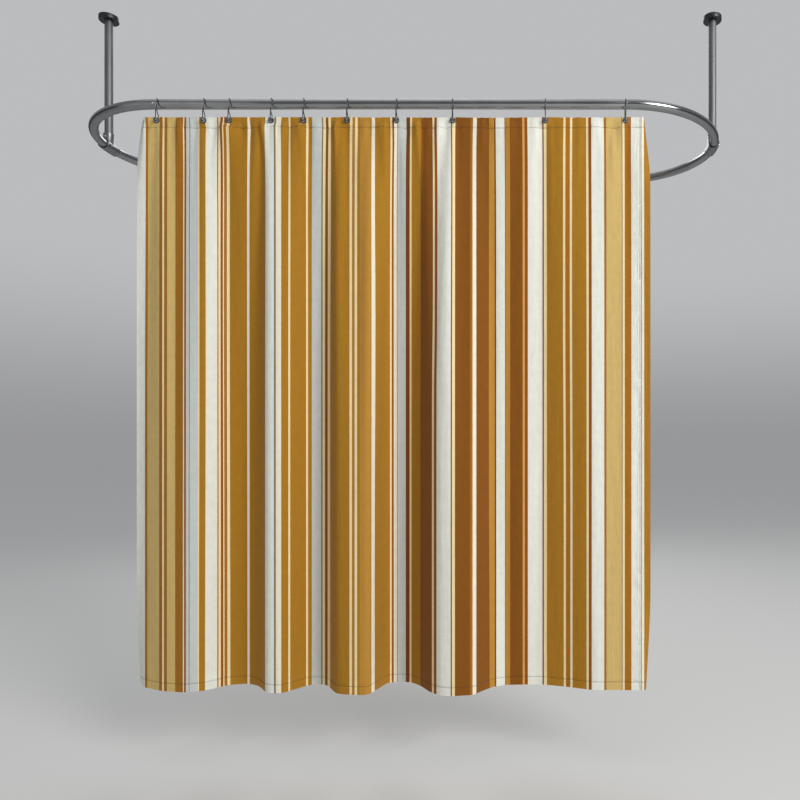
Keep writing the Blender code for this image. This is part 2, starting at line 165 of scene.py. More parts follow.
def newGroup(name, takes, gives):
    # takes: label, kind of socket and default value; gives: label and kind of socket
    group = bpy.data.node_groups.new(name, "ShaderNodeTree")
    for label, kind, value in takes:
        socket = group.interface.new_socket(label, in_out="INPUT", socket_type="NodeSocket" + kind)
        if value is not None:
            socket.default_value = value
    for label, kind in gives:
        group.interface.new_socket(label, in_out="OUTPUT", socket_type="NodeSocket" + kind)
    return group, group.nodes.new("NodeGroupInput"), group.nodes.new("NodeGroupOutput")


def newMaterial(name, metallic, roughness, values=None):
    material = bpy.data.materials.new(name)
    material.use_nodes = True
    tree = material.node_tree
    shader = tree.nodes["Principled BSDF"]
    setSockets(tree, shader, {"Metallic": metallic, "Roughness": roughness, **(values or {})})
    return material, tree, shader


# the air is dark around the horizon and paler overhead; the backdrop behind it stays plain
surroundings = {
    # low colour, the height up to which it lasts, high colour, the height where it starts
    "air": ((0.07, 0.07, 0.075), 0.14, (0.34, 0.35, 0.37), 0.40),
    "backdrop": ((0.31, 0.312, 0.318), 0.0, (0.50, 0.505, 0.515), 0.26),
}
world = bpy.data.worlds.new("studioAir")
world.use_nodes = True
scene.world = world
air = world.node_tree
airPlace = setNode(air, "ShaderNodeTexCoord").outputs["Generated"]
airHeight = setNode(air, "ShaderNodeSeparateXYZ", {0: airPlace}).outputs["Z"]
airColors = []
for low, lowTo, high, highFrom in surroundings.values():
    airRamp = setNode(air, "ShaderNodeValToRGB", {"Fac": airHeight})
    first, last = airRamp.color_ramp.elements
    first.position, first.color = lowTo, (*low, 1)
    last.position, last.color = highFrom, (*high, 1)
    airRamp.color_ramp.interpolation = "EASE"
    airColors.append(airRamp.outputs["Color"])
cameraSees = setNode(air, "ShaderNodeLightPath").outputs["Is Camera Ray"]
setSockets(air, air.nodes["Background"], {"Color": mixColor(air, cameraSees, *airColors)})
print("camera, lights and air ready")

# the print on the cloth, left to right: dye and width in millimetres as it hangs; the pale grey stripes
# are partly grey dye and partly painted fold shade
dyes = {
    # the pale grey dye is partly the cloth's own grey and partly painted shade of the folds it lies in
    "ivory": (232, 233, 222), "greyWithPaintedShade": (200, 205, 201), "milk": (240, 232, 210),
    "cream": (244, 222, 172), "paleGold": (210, 180, 112), "lightOchre": (186, 136, 56),
    "ochre": (170, 121, 34), "deepOchre": (158, 106, 30), "amber": (168, 110, 30),
    "rust": (146, 82, 24), "brown": (135, 82, 22), "darkBrown": (122, 68, 18),
    "peach": (218, 160, 86), "slate": (128, 118, 96),
}
stripePlan = (
    ("ivory", 25), ("amber", 8), ("paleGold", 38), ("deepOchre", 8), ("cream", 7), ("deepOchre", 8),
    ("paleGold", 27), ("deepOchre", 24), ("cream", 4), ("rust", 5), ("greyWithPaintedShade", 9), ("rust", 3),
    ("greyWithPaintedShade", 26), ("cream", 3), ("ochre", 20), ("cream", 2), ("ivory", 34), ("amber", 4),
    ("cream", 8), ("rust", 7), ("cream", 5), ("amber", 9), ("cream", 8), ("ochre", 55), ("milk", 8),
    ("ochre", 51), ("ivory", 27), ("slate", 5), ("milk", 17), ("ochre", 24), ("cream", 6),
    ("ochre", 49), ("cream", 6), ("ochre", 13), ("greyWithPaintedShade", 31), ("slate", 3), ("cream", 8),
    ("brown", 9), ("cream", 7), ("ochre", 62), ("cream", 8), ("ochre", 8), ("cream", 7),
    ("ochre", 9), ("lightOchre", 36), ("milk", 10), ("ochre", 50), ("cream", 5), ("rust", 6),
    ("milk", 10), ("slate", 3), ("greyWithPaintedShade", 26), ("darkBrown", 12), ("cream", 7), ("ochre", 28),
    ("brown", 37), ("cream", 6), ("rust", 8), ("ivory", 44), ("brown", 5), ("cream", 8),
    ("brown", 50), ("amber", 7), ("milk", 10), ("brown", 41), ("lightOchre", 15), ("darkBrown", 5),
    ("ivory", 27), ("rust", 4), ("lightOchre", 13), ("brown", 40), ("peach", 6), ("rust", 11),
    ("ivory", 46), ("brown", 5), ("cream", 8), ("ochre", 54), ("cream", 7), ("amber", 15),
    ("cream", 7), ("ochre", 44), ("cream", 7), ("rust", 9), ("ivory", 39), ("amber", 7),
    ("paleGold", 49), ("slate", 3), ("cream", 6), ("amber", 21), ("ivory", 32), ("slate", 2),
    ("milk", 8), ("ochre", 20),
)


rampStripes = 30  # a colour ramp holds at most 32 colours


def makeStripeGroup():
    # a chain of constant colour ramps, each with the next stripes of the plan
    group, given, result = newGroup("stripePrint", [("Across", "Float", 0.0)], [("Color", "Color")])
    widths = np.array([width for _, width in stripePlan], float)
    starts = np.concatenate([[0.0], np.cumsum(widths)]) / widths.sum()
    print(f"{len(stripePlan)} stripes across {widths.sum():.0f} mm")
    across, color = given.outputs["Across"], None
    for first in range(0, len(stripePlan), rampStripes):
        last = min(first + rampStripes, len(stripePlan))
        begin, end = starts[first], starts[last]
        within = calc(group, "DIVIDE", calc(group, "SUBTRACT", across, float(begin)),
                      float(end - begin), clamp=True)
        rampNode = setNode(group, "ShaderNodeValToRGB", {"Fac": within})
        ramp = rampNode.color_ramp
        ramp.interpolation = "CONSTANT"
        ramp.elements.remove(ramp.elements[1])
        for index in range(first, last):
            position = float((starts[index] - begin) / (end - begin))
            element = ramp.elements[0] if index == first else ramp.elements.new(position)
            element.position = position
            element.color = linear(dyes[stripePlan[index][0]])
        if color is None:
            color = rampNode.outputs["Color"]
        else:
            color = mixColor(group, calc(group, "GREATER_THAN", across, float(begin)), color,
                             rampNode.outputs["Color"])
    setSockets(group, result, {"Color": color})
    return group


def makeWeaveGroup():
    # plain weave: the sine of one thread count times the sine of the other, with uneven threads
    group, given, result = newGroup(
        "plainWeave", [("Across", "Float", 0.0), ("Down", "Float", 0.0), ("Thread", "Float", 0.0008)],
        [("Height", "Float"), ("Tone", "Float")])
    place = setNode(group, "ShaderNodeCombineXYZ", {0: given.outputs["Across"],
                                                    1: given.outputs["Down"]}).outputs[0]
    wavy = []
    for label in ("Across", "Down"):
        turns = calc(group, "DIVIDE", given.outputs[label], given.outputs["Thread"])
        wavy.append(calc(group, "SINE", calc(group, "MULTIPLY", turns, math.pi)))
    knots = calc(group, "MULTIPLY", wavy[0], wavy[1])
    slubDown = noiseOf(group, place, 1.0, 2.0, (900, 22, 1))
    slubAcross = noiseOf(group, place, 1.0, 2.0, (26, 800, 1))
    slub = calc(group, "ADD", slubDown, slubAcross)
    setSockets(group, result, {"Height": calc(group, "MULTIPLY_ADD", knots, 0.5, slub),
                               "Tone": calc(group, "MULTIPLY", slub, 0.5)})
    return group


def makeCrumpleGroup():
    # soft creases of washed cloth: two noises, one drawn out along the hang
    group, given, result = newGroup("softCrumple", [("Place", "Vector", None)], [("Height", "Float")])
    long = noiseOf(group, given.outputs["Place"], 1.0, 3.0, (34, 5, 1), 0.55)
    small = noiseOf(group, given.outputs["Place"], 1.0, 3.0, (60, 42, 1), 0.6)
    setSockets(group, result, {"Height": calc(group, "MULTIPLY_ADD", small, 0.35, long)})
    return group


def makeBrushedGroup():
    # fine lines along a tube, with patches where hands and rings have dulled it
    group, given, result = newGroup(
        "brushedSteel", [("Place", "Vector", None), ("Stretch", "Vector", None)],
        [("Lines", "Float"), ("Patches", "Float"), ("Specks", "Float")])
    place = given.outputs["Place"]
    stretched = setNode(group, "ShaderNodeMapping", {"Vector": place,
                                                     "Scale": given.outputs["Stretch"]}).outputs[0]
    specks = noiseOf(group, place, 700.0, 2.0)
    setSockets(group, result, {"Lines": noiseOf(group, stretched, 1.0, 3.0, None, 0.6),
                               "Patches": noiseOf(group, place, 9.0, 3.0),
                               "Specks": calc(group, "GREATER_THAN", specks, 0.66)})
    return group


stripePrint = makeStripeGroup()
plainWeave = makeWeaveGroup()
softCrumple = makeCrumpleGroup()
brushedSteel = makeBrushedGroup()

clothFinish = {
    "flatSize": (1.83, 1.83),  # width and length as sold
    "thread": 0.0009,
    "weaveDepth": 0.00012,
    "crumpleDepth": 0.0030,
    "roughness": 0.86,
    "specular": 0.15,
    "sheen": 0.08,
    "mottle": 0.18,  # how much the dye varies from place to place
    "backFade": 0.32,  # how far the reverse side fades to ivory
    "topStitch": 0.033,  # below the top edge
    "lowStitch": 0.025,  # above the bottom edge
    "sideStitch": 0.040,  # in from the right edge
    "stitchDip": 0.006,  # half the width of the dip along a stitch line
}


def makeClothMaterial(name, fade):
    material, tree, shader = newMaterial(
        name, 0.0, clothFinish["roughness"],
        {"Sheen Weight": clothFinish["sheen"], "Sheen Roughness": 0.5,
         "Specular IOR Level": clothFinish["specular"]})
    uv = setNode(tree, "ShaderNodeUVMap", uv_map="clothMap").outputs[0]
    share = setNode(tree, "ShaderNodeSeparateXYZ", {0: uv}).outputs
    width, height = clothFinish["flatSize"]
    metres = setNode(tree, "ShaderNodeMapping", {"Vector": uv, "Scale": (width, height, 1)}).outputs[0]
    across = calc(tree, "MULTIPLY", share[0], width)
    down = calc(tree, "MULTIPLY", calc(tree, "SUBTRACT", 1.0, share[1]), height)
    stripes = setNode(tree, "ShaderNodeGroup", {"Across": share[0]}, node_tree=stripePrint)
    weave = setNode(tree, "ShaderNodeGroup", {"Across": across, "Down": down,
                                              "Thread": clothFinish["thread"]}, node_tree=plainWeave)
    crumple = setNode(tree, "ShaderNodeGroup", {"Place": metres}, node_tree=softCrumple)
    mottle = noiseOf(tree, metres, 38.0, 4.0, None, 0.6)
    tone = calc(tree, "ADD", calc(tree, "MULTIPLY", weave.outputs["Tone"], 0.16),
                calc(tree, "MULTIPLY_ADD", mottle, clothFinish["mottle"], 0.83))
    dyed = mixColor(tree, 1.0, stripes.outputs["Color"], greyOf(tree, tone), "MULTIPLY")
    if fade:
        dyed = mixColor(tree, fade, dyed, linear(dyes["ivory"]))
    # the cloth dips along its three stitch lines, and puckers beside them
    dip = None
    for measure, line in ((down, clothFinish["topStitch"]),
                          (down, height - clothFinish["lowStitch"]),
                          (across, width - clothFinish["sideStitch"])):
        off = calc(tree, "ABSOLUTE", calc(tree, "SUBTRACT", measure, line))
        far = calc(tree, "DIVIDE", off, clothFinish["stitchDip"], clamp=True)
        near = calc(tree, "SUBTRACT", 1.0, far)
        dip = near if dip is None else calc(tree, "MAXIMUM", dip, near)
    pucker = noiseOf(tree, metres, 120.0, 2.0)
    dipDepth = calc(tree, "MULTIPLY", calc(tree, "POWER", dip, 2.0),
                    calc(tree, "MULTIPLY_ADD", pucker, 1.2, 0.4))
    creased = calc(tree, "SUBTRACT", crumple.outputs[0], calc(tree, "MULTIPLY", dipDepth, 0.5))
    soft = bumpOf(tree, creased, 1.0, clothFinish["crumpleDepth"])
    threads = bumpOf(tree, weave.outputs["Height"], 0.8, clothFinish["weaveDepth"], soft)
    rough = calc(tree, "MULTIPLY_ADD", weave.outputs["Tone"], 0.14,
                 clothFinish["roughness"] - 0.1, clamp=True)
    setSockets(tree, shader, {"Base Color": dyed, "Normal": threads, "Roughness": rough})
    return material


def makeSteelMaterial(name, color, roughness, stretch, wear=0.25):
    # brush lines and dull patches vary both the tone and the gloss, and specks darken it
    material, tree, shader = newMaterial(name, 1.0, roughness)
    place = setNode(tree, "ShaderNodeTexCoord").outputs["Object"]
    brushed = setNode(tree, "ShaderNodeGroup", {"Place": place, "Stretch": stretch},
                      node_tree=brushedSteel)
    lines, patches, specks = brushed.outputs
    tone = calc(tree, "MULTIPLY_ADD", lines, 0.5, calc(tree, "MULTIPLY_ADD", patches, 0.5, 0.5))
    base = mixColor(tree, 1.0, linear(color), greyOf(tree, tone), "MULTIPLY")
    dulled = mixColor(tree, calc(tree, "MULTIPLY", specks, wear), base, linear(color, 0.5))
    rough = calc(tree, "MULTIPLY_ADD", lines, 0.16,
                 calc(tree, "MULTIPLY_ADD", patches, 0.16, roughness - 0.16), clamp=True)
    setSockets(tree, shader, {"Base Color": dulled, "Normal": bumpOf(tree, lines, 0.35, 0.0002),
                              "Roughness": rough})
    return material


def makeThreadMaterial(name, color):
    # a fine noise stands for the twist of the thread
    material, tree, shader = newMaterial(name, 0.0, 0.7, {"Sheen Weight": 0.2})
    place = setNode(tree, "ShaderNodeTexCoord").outputs["Object"]
    twist = noiseOf(tree, place, 1800.0, 1.0)
    setSockets(tree, shader, {"Base Color": mixColor(tree, twist, linear(color, 0.6), linear(color)),
                              "Normal": bumpOf(tree, twist, 0.6, 0.0002)})
    return material


clothFront = makeClothMaterial("printedCloth", 0.0)
clothBack = makeClothMaterial("printedClothBack", clothFinish["backFade"])
railSteel = makeSteelMaterial("railSteel", (158, 159, 161), 0.15, (14, 900, 900))
bendSteel = makeSteelMaterial("bendSteel", (144, 145, 147), 0.17, (240, 240, 900))
postSteel = makeSteelMaterial("postSteel", (128, 129, 132), 0.56, (900, 900, 14))
fittingSteel = makeSteelMaterial("fittingSteel", (132, 133, 137), 0.38, (300, 300, 300))
coverSteel = makeSteelMaterial("coverSteel", (72, 73, 76), 0.40, (300, 300, 300))
brightSteel = makeSteelMaterial("brightSteel", (215, 216, 218), 0.22, (500, 500, 500), 0.1)
hookSteel = makeSteelMaterial("hookSteel", (84, 87, 90), 0.30, (500, 500, 60))
ballMetal = makeSteelMaterial("ballMetal", (112, 116, 126), 0.36, (400, 400, 400))
eyeletMetal = makeSteelMaterial("eyeletMetal", (124, 126, 130), 0.34, (500, 500, 500))
darkThread = makeThreadMaterial("darkThread", (96, 72, 40))
print("materials ready")


# surfaces as whole arrays

def gridQuads(rows, columns, closeRows=False, closeColumns=False):
    # four corners a face: point, the one in the next row, its neighbour, and the first's neighbour
    row, column = np.meshgrid(np.arange(rows if closeRows else rows - 1),
                              np.arange(columns if closeColumns else columns - 1), indexing="ij")
    nextRow, nextColumn = (row + 1) % rows, (column + 1) % columns
    return np.stack([row * columns + column, nextRow * columns + column,
                     nextRow * columns + nextColumn, row * columns + nextColumn],
                    axis=-1).reshape(-1, 4)


def unit(vectors):
    # each vector divided by its own length
    return vectors / np.maximum(np.linalg.norm(vectors, axis=-1, keepdims=True), 1e-12)


weldDistance = 0.00001  # points closer than this become one


def makePiece(name, points, quads, material, weld=True, sharp=35):
    # an object of points and faces; edges sharper than the given degrees stay crisp
    mesh = bpy.data.meshes.new(name)
    mesh.from_pydata(np.asarray(points, float).reshape(-1, 3), [], quads)
    if weld:
        shape = bmesh.new()
        shape.from_mesh(mesh)
        bmesh.ops.remove_doubles(shape, verts=shape.verts, dist=weldDistance)
        bmesh.ops.dissolve_degenerate(shape, edges=shape.edges, dist=weldDistance / 2)
        bmesh.ops.recalc_face_normals(shape, faces=shape.faces)
        shape.to_mesh(mesh)
        shape.free()
    mesh.shade_smooth()
    mesh.set_sharp_from_angle(angle=math.radians(sharp))
    mesh.materials.append(material)
    piece = bpy.data.objects.new(name, mesh)
    scene.collection.objects.link(piece)
    return piece


def settle(piece, body, slotName, *nodes):
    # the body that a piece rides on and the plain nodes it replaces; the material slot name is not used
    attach(piece, body)
    if nodes:
        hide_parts(*nodes)


def rounded(outline, radius, steps=4, closed=True):
    # each corner becomes a quadratic curve from a little before it to a little after it
    corners = np.array(outline, float)
    before, after = np.roll(corners, 1, 0) - corners, np.roll(corners, -1, 0) - corners
    longBefore = np.linalg.norm(before, axis=1, keepdims=True)
    longAfter = np.linalg.norm(after, axis=1, keepdims=True)
    start = corners + before / longBefore * np.minimum(radius, 0.45 * longBefore)
    end = corners + after / longAfter * np.minimum(radius, 0.45 * longAfter)
    t = np.linspace(0, 1, steps)[None, :, None]
    curve = (1 - t) ** 2 * start[:, None] + 2 * t * (1 - t) * corners[:, None] + t ** 2 * end[:, None]
    if closed:
        return curve.reshape(-1, 2)
    return np.concatenate([corners[:1], curve[1:-1].reshape(-1, 2), corners[-1:]])


def sweepRings(centres, side, over, radii, sides):
    # at each centre a ring: centre + radius (side cos t + over sin t)
    turns = np.arange(sides) * 2 * np.pi / sides
    ring = (np.cos(turns)[None, :, None] * side[:, None] + np.sin(turns)[None, :, None] * over[:, None])
    return centres[:, None] + np.asarray(radii)[:, None, None] * ring


def turnedPiece(name, outline, axis, centre, sides, material, closed=True, sharp=35):
    # an outline of (radius, distance along the axis) carried round that axis
    outline = np.asarray(outline, float)
    centres = np.tile(np.array(centre, float), (len(outline), 1))
    centres[:, axis] += outline[:, 1]
    side, over = np.zeros((2, len(outline), 3))
    side[:, (axis + 1) % 3] = 1
    over[:, (axis + 2) % 3] = 1
    rings = sweepRings(centres, side, over, outline[:, 0], sides)
    return makePiece(name, rings, gridQuads(len(outline), sides, closed, True), material, sharp=sharp)


def pipeOutline(outer, inner, low, high, edge):
    # the wall of a tube cut along its axis: a long rectangle with eased corners
    return rounded(((outer, low), (outer, high), (inner, high), (inner, low)), edge)


# ring rail

rail = {"wall": 0.0015, "edge": 0.0007, "sides": 48, "bendSteps": 72, "spigot": 0.040,
        "spigotPlay": 0.0004, "seam": 0.0003}
frontLow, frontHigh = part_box("front_rail_tube")
railRadius = (frontHigh.z - frontLow.z) / 2
straightHalf = frontHigh.x
ringY = -(frontLow.y + frontHigh.y) / 2
railZ = (frontLow.z + frontHigh.z) / 2
postLow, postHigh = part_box("right_post_tube")
postX = (postLow.x + postHigh.x) / 2
bendReach = postX - straightHalf
railBore = railRadius - rail["wall"]

for name, node, y in (("frontRail", "front_rail_tube", -ringY), ("rearRail", "rear_rail_tube", ringY)):
    outline = pipeOutline(railRadius, railBore, -straightHalf, straightHalf, rail["edge"])
    settle(turnedPiece(name, outline, 0, (0, y, railZ), rail["sides"], railSteel),
           "ring_rail", "rail_steel", node)


def ellipseWay(side, turns):
    # half an ellipse seen from above, from the front tube (turn -90) to the rear tube (turn +90)
    centres = np.stack([side * (straightHalf + bendReach * np.cos(turns)), ringY * np.sin(turns),
                        np.full_like(turns, railZ)], axis=1)
    outward = unit(np.stack([side * np.cos(turns) / bendReach, np.sin(turns) / ringY,
                             np.zeros_like(turns)], axis=1))
    return centres, outward


def makeBend(name, side, node):
    # narrowed end, full tube round the bend, narrowed end, then the same way back inside
    turns = np.linspace(-math.pi / 2, math.pi / 2, rail["bendSteps"])
    centres, outward = ellipseWay(side, turns)
    seam, inward = np.array([side * rail["seam"], 0, 0]), np.array([-side * rail["spigot"], 0, 0])
    edge = np.array([side * rail["edge"], 0, 0])
    spigotRadius = railBore - rail["spigotPlay"]
    first, last = centres[0] + seam, centres[-1] + seam
    way = np.concatenate([[first + inward, first, first, first + edge], centres[2:-2],
                          [last + edge, last, last, last + inward]])
    faces = np.concatenate([outward[:1].repeat(4, 0), outward[2:-2], outward[-1:].repeat(4, 0)])
    radii = np.concatenate([[spigotRadius, spigotRadius, railRadius - rail["edge"]],
                            np.full(len(way) - 6, railRadius),
                            [railRadius - rail["edge"], spigotRadius, spigotRadius]])
    back = slice(None, None, -1)
    way, faces = np.concatenate([way, way[back]]), np.concatenate([faces, faces[back]])
    radii = np.concatenate([radii, np.full(len(radii), spigotRadius - rail["wall"])])
    over = np.tile([0.0, 0.0, 1.0], (len(way), 1))
    rings = sweepRings(way, faces, over, radii, rail["sides"])
    piece = makePiece(name, rings, gridQuads(len(way), rail["sides"], True, True), bendSteel)
    settle(piece, "ring_rail", "rail_steel", node)


tee = {"wall": 0.004, "half": 0.036, "socket": 0.046, "web": 0.004, "play": 0.0004, "sides": 48,
       "steps": 13, "bevel": 0.0012, "bevelFrom": 50}


def applyModifiers(piece):
    graph = bpy.context.evaluated_depsgraph_get()
    done = bpy.data.meshes.new_from_object(piece.evaluated_get(graph))
    piece.modifiers.clear()
    piece.data = done


def solidSweep(name, side, reach, radius):
    # a filled bar along the bend's middle, its ends closed at a point of no radius
    turn = math.asin(reach / ringY)
    centres, outward = ellipseWay(side, np.linspace(-turn, turn, tee["steps"]))
    centres = np.concatenate([centres[:1], centres, centres[-1:]])
    outward = np.concatenate([outward[:1], outward, outward[-1:]])
    radii = np.concatenate([[0.0], np.full(tee["steps"], radius), [0.0]])
    over = np.tile([0.0, 0.0, 1.0], (len(centres), 1))
    return makePiece(name, sweepRings(centres, outward, over, radii, tee["sides"]),
                     gridQuads(len(centres), tee["sides"], False, True), fittingSteel)


def makeTee(name, side, node):
    # sleeve and socket joined, then bored for the rail and for the post
    x = side * postX
    boreRadius = (postHigh.x - postLow.x) / 2 + tee["play"]
    socketRadius, boreFloor = boreRadius + tee["wall"], railRadius + rail["seam"] + tee["web"]
    socket = ((0, 0), (socketRadius, 0), (socketRadius, tee["socket"]), (0, tee["socket"]))
    bore = ((0, boreFloor), (boreRadius, boreFloor), (boreRadius, 2 * tee["socket"]),
            (0, 2 * tee["socket"]))
    body = solidSweep(name, side, tee["half"], railRadius + rail["seam"] + tee["wall"])
    tools = [("UNION", turnedPiece("socketTool", socket, 2, (x, 0, railZ), tee["sides"],
                                   fittingSteel, False)),
             ("DIFFERENCE", solidSweep("passageTool", side, 2 * tee["half"],
                                       railRadius + rail["seam"])),
             ("DIFFERENCE", turnedPiece("boreTool", bore, 2, (x, 0, railZ), tee["sides"],
                                        fittingSteel, False))]
    for operation, tool in tools:
        cut = body.modifiers.new(tool.name, "BOOLEAN")
        cut.operation, cut.object, cut.solver = operation, tool, "EXACT"
    bevel = body.modifiers.new("softEdges", "BEVEL")
    bevel.width, bevel.segments, bevel.limit_method = tee["bevel"], 2, "ANGLE"
    bevel.angle_limit = math.radians(tee["bevelFrom"])
    applyModifiers(body)
    for _, tool in tools:
        bpy.data.objects.remove(tool)
    settle(body, "ring_rail", "fitting_steel", node)


post = {"wall": 0.0015, "edge": 0.0005}
cover = {"wall": 0.0015, "edge": 0.003, "lip": 0.0006}
for label, side in (("left", -1), ("right", 1)):
    makeBend(f"{label}Bend", side, f"{label}_bend_tube")
    makeTee(f"{label}Tee", side, f"{label}_tee_fitting")
    low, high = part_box(f"{label}_post_tube")
    radius, x = (high.x - low.x) / 2, (high.x + low.x) / 2
    outline = pipeOutline(radius, radius - post["wall"], low.z, high.z, post["edge"])
    settle(turnedPiece(f"{label}Post", outline, 2, (x, 0, 0), rail["sides"], postSteel),
           "ring_rail", "rail_steel", f"{label}_post_tube")
    low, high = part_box(f"{label}_flange_cover")
    rim, hole = (high.x - low.x) / 2, radius + tee["play"]
    outline = np.concatenate([
        rounded(((rim - cover["wall"], low.z + cover["wall"]), (rim - cover["wall"], high.z),
                 (rim, high.z), (rim, low.z)), cover["lip"])[4:-4],
        rounded(((rim, high.z), (rim, low.z), (hole, low.z)), cover["edge"], 6, False)[1:-1],
        rounded(((hole, low.z), (hole, low.z + cover["wall"])), cover["lip"], 3, False),
        rounded(((hole, low.z + cover["wall"]), (rim - cover["wall"], low.z + cover["wall"]),
                 (rim - cover["wall"], high.z)), cover["edge"] - cover["wall"], 6, False)[1:-1]])
    settle(turnedPiece(f"{label}Cover", outline, 2, (x, 0, 0), rail["sides"], coverSteel),
           "ring_rail", "fitting_steel", f"{label}_flange_cover")
    for node in ("tee_rail_screw", "tee_post_screw", "ceiling_plate", "ceiling_screw_left",
                 "ceiling_screw_right"):
        materials = frame["nodes"][f"{label}_{node}"].data.materials
        materials.clear()
        materials.append(brightSteel)
print("ring rail, tees, posts and covers ready")


# hooks, balls and eyelets

hook = {
    "wire": 0.0015, "sides": 12, "arcSteps": 12, "softening": 3,
    "socket": 0.003,  # the wire's end inside the ball
    # heights of the bends, as shares of the drop from the rail to the eyelet
    "neck": 0.78, "belly": 0.475, "shoulder": 0.15, "rearLeg": 0.61,
    "foot": 0.62,  # where the rear leg turns in, as a share of the reach
    # how far each hook twists on the rail: its front leg goes right, its rear leg left
    "twist": (0.62, 0.60, 0.58, 0.55, 0.45, 0.38, 0.28, 0.16, 0.04, 0.0),
}
ball = {"sides": 28, "rings": 18}
eyelet = {"hole": 0.005, "barrel": 0.0062, "rimWall": 0.0008, "edge": 0.0007, "play": 0.0004,
          "sides": 40, "flat": 0.012}
hookCount = len(hook["twist"])


def hookWay(reach, ballY, ballRadius, drop, twist):
    # wire from the top of the ball, up in front, over the rail, and down behind through the eyelet
    entry = ballRadius - hook["socket"]
    turns = np.pi * (1 - np.arange(hook["arcSteps"] + 1) / hook["arcSteps"])
    front = [(ballY, entry - drop), (ballY, entry - drop * hook["neck"]),
             (-reach, -drop * hook["belly"]), (-reach, -drop * hook["shoulder"])]
    over = np.stack([reach * np.cos(turns), reach * np.sin(turns)], axis=1)
    rear = [(reach, -drop * hook["shoulder"]), (reach, -drop * hook["rearLeg"]),
            (reach * hook["foot"], -drop), (ballY + entry, -drop)]
    way = np.concatenate([front, over, rear])
    for _ in range(hook["softening"]):  # each corner is cut at a quarter of both its sides
        ends = way[:1], way[-1:]
        cut = np.stack([0.75 * way[:-1] + 0.25 * way[1:], 0.25 * way[:-1] + 0.75 * way[1:]], axis=1)
        way = np.concatenate([ends[0], cut.reshape(-1, 2)[1:-1], ends[1]])
    rise = np.clip((way[:, 1] + drop) / drop, 0, 1)
    across = -way[:, 0] * twist * rise * rise * (3 - 2 * rise)
    return np.column_stack([across, way])


def makeHook(number, body):
    # wire swept round its way, ball as a half circle turned, eyelet as a flanged outline turned
    wireLow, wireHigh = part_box(f"hook_wire_{number:02d}")
    ballLow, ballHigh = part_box(f"hook_ball_{number:02d}")
    rimLow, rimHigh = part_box(f"eyelet_{number:02d}")
    x, ringZ = (rimLow.x + rimHigh.x) / 2, (rimLow.z + rimHigh.z) / 2
    reach = (wireHigh.y - wireLow.y) / 2 - hook["wire"]
    ballRadius = (ballHigh.z - ballLow.z) / 2
    ballY = (ballLow.y + ballHigh.y) / 2
    way = hookWay(reach, ballY + ringY, ballRadius, railZ - ringZ, hook["twist"][number - 1])
    way += (x, -ringY, railZ)
    along = unit(np.gradient(way, axis=0))
    side = unit(np.cross(along, (1.0, 0.0, 0.0)))
    over = np.cross(side, along)
    radii = np.full(len(way), hook["wire"])
    radii[[0, -1]] = 0
    wire = makePiece(f"hookWire{number:02d}", sweepRings(way, side, over, radii, hook["sides"]),
                     gridQuads(len(way), hook["sides"], False, True), hookSteel)
    settle(wire, body, "hook_steel", f"hook_wire_{number:02d}")
    turns = np.linspace(0, np.pi, ball["rings"])
    outline = np.stack([ballRadius * np.sin(turns), ballRadius * np.cos(turns)], axis=1)
    settle(turnedPiece(f"hookBall{number:02d}", outline, 2, (x, ballY, ringZ), ball["sides"],
                       ballMetal, False), body, "ball_metal", f"hook_ball_{number:02d}")
    rim, face = (rimHigh.x - rimLow.x) / 2, (rimHigh.y - rimLow.y) / 2
    inner = face - eyelet["rimWall"]
    outline = rounded(((eyelet["hole"], -face), (rim, -face), (rim, -inner),
                       (eyelet["barrel"], -inner), (eyelet["barrel"], inner), (rim, inner),
                       (rim, face), (eyelet["hole"], face)), eyelet["edge"], 5)
    settle(turnedPiece(f"eyeletRing{number:02d}", outline, 1, (x, -ringY, ringZ), eyelet["sides"],
                       eyeletMetal, sharp=50), body, "eyelet_metal", f"eyelet_{number:02d}")
    return x, ringZ


hookPlaces = np.array([makeHook(number, "curtain" if number == 1 else f"hook_{number:02d}")
                       for number in range(1, hookCount + 1)])
print(f"{hookCount} hooks ready, from x {hookPlaces[0, 0]:.3f} to {hookPlaces[-1, 0]:.3f}")


# curtain cloth

curtain = {
    "beyondFirst": 0.062, "beyondLast": 0.078,  # cloth outside the first and last hook
    "thickness": 0.0007,
    "frontLayer": 0.0004,  # the printed layer lies in front of the hems
    "hemRise": 0.012,  # the folds and hems take up this much length
    "flatTop": 0.030,  # below the top edge, where the folds begin
    "openingShare": 0.27,  # share of the height in which the folds open
    "standsBefore": (0.50, 2.226),  # the folds lean towards someone who stands here
    # left and right corner, above and below: width that curls back, height it opens over,
    # degrees and power
    "topCurls": ((0.024, 0.20, 75, 1.2), (0.019, 0.215, 90, 0.85)),
    "lowCurls": ((0.024, 0.42, 60, 1.2), (0.019, 0.30, 76, 0.7)),
    "step": (0.0073, 0.0132),  # spacing of the grid, across and down
    "lineGap": 0.003,  # kept clear beside a stitch line or eyelet
}
# millimetres from the left edge, and how far back (+) or forward (-) the cloth stands at the hem
foldPlan = ((0, 34), (80, -26), (156, -36), (215, -14), (290, 42), (352, 54), (388, 30), (410, -34),
            (460, -36), (545, 32), (588, 36), (611, 20), (631, -54), (684, -60), (736, -52),
            (795, 62), (832, 71), (872, 64), (903, 26), (932, -32), (964, -62), (1000, -71),
            (1070, -60), (1130, 26), (1172, 51), (1285, 50), (1365, 30), (1450, -4), (1570, -16),
            (1630, -16))
topZ = max(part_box(f"curtain_panel_{n:02d}")[1].z for n in range(1, hookCount + 1))
lowZ = min(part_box(f"curtain_panel_{n:02d}")[0].z for n in range(1, hookCount + 1))
clothHeight = topZ - lowZ - curtain["hemRise"]
leftX, rightX = hookPlaces[0, 0] - curtain["beyondFirst"], hookPlaces[-1, 0] + curtain["beyondLast"]
clothWidth = rightX - leftX
draws = np.random.default_rng(11)


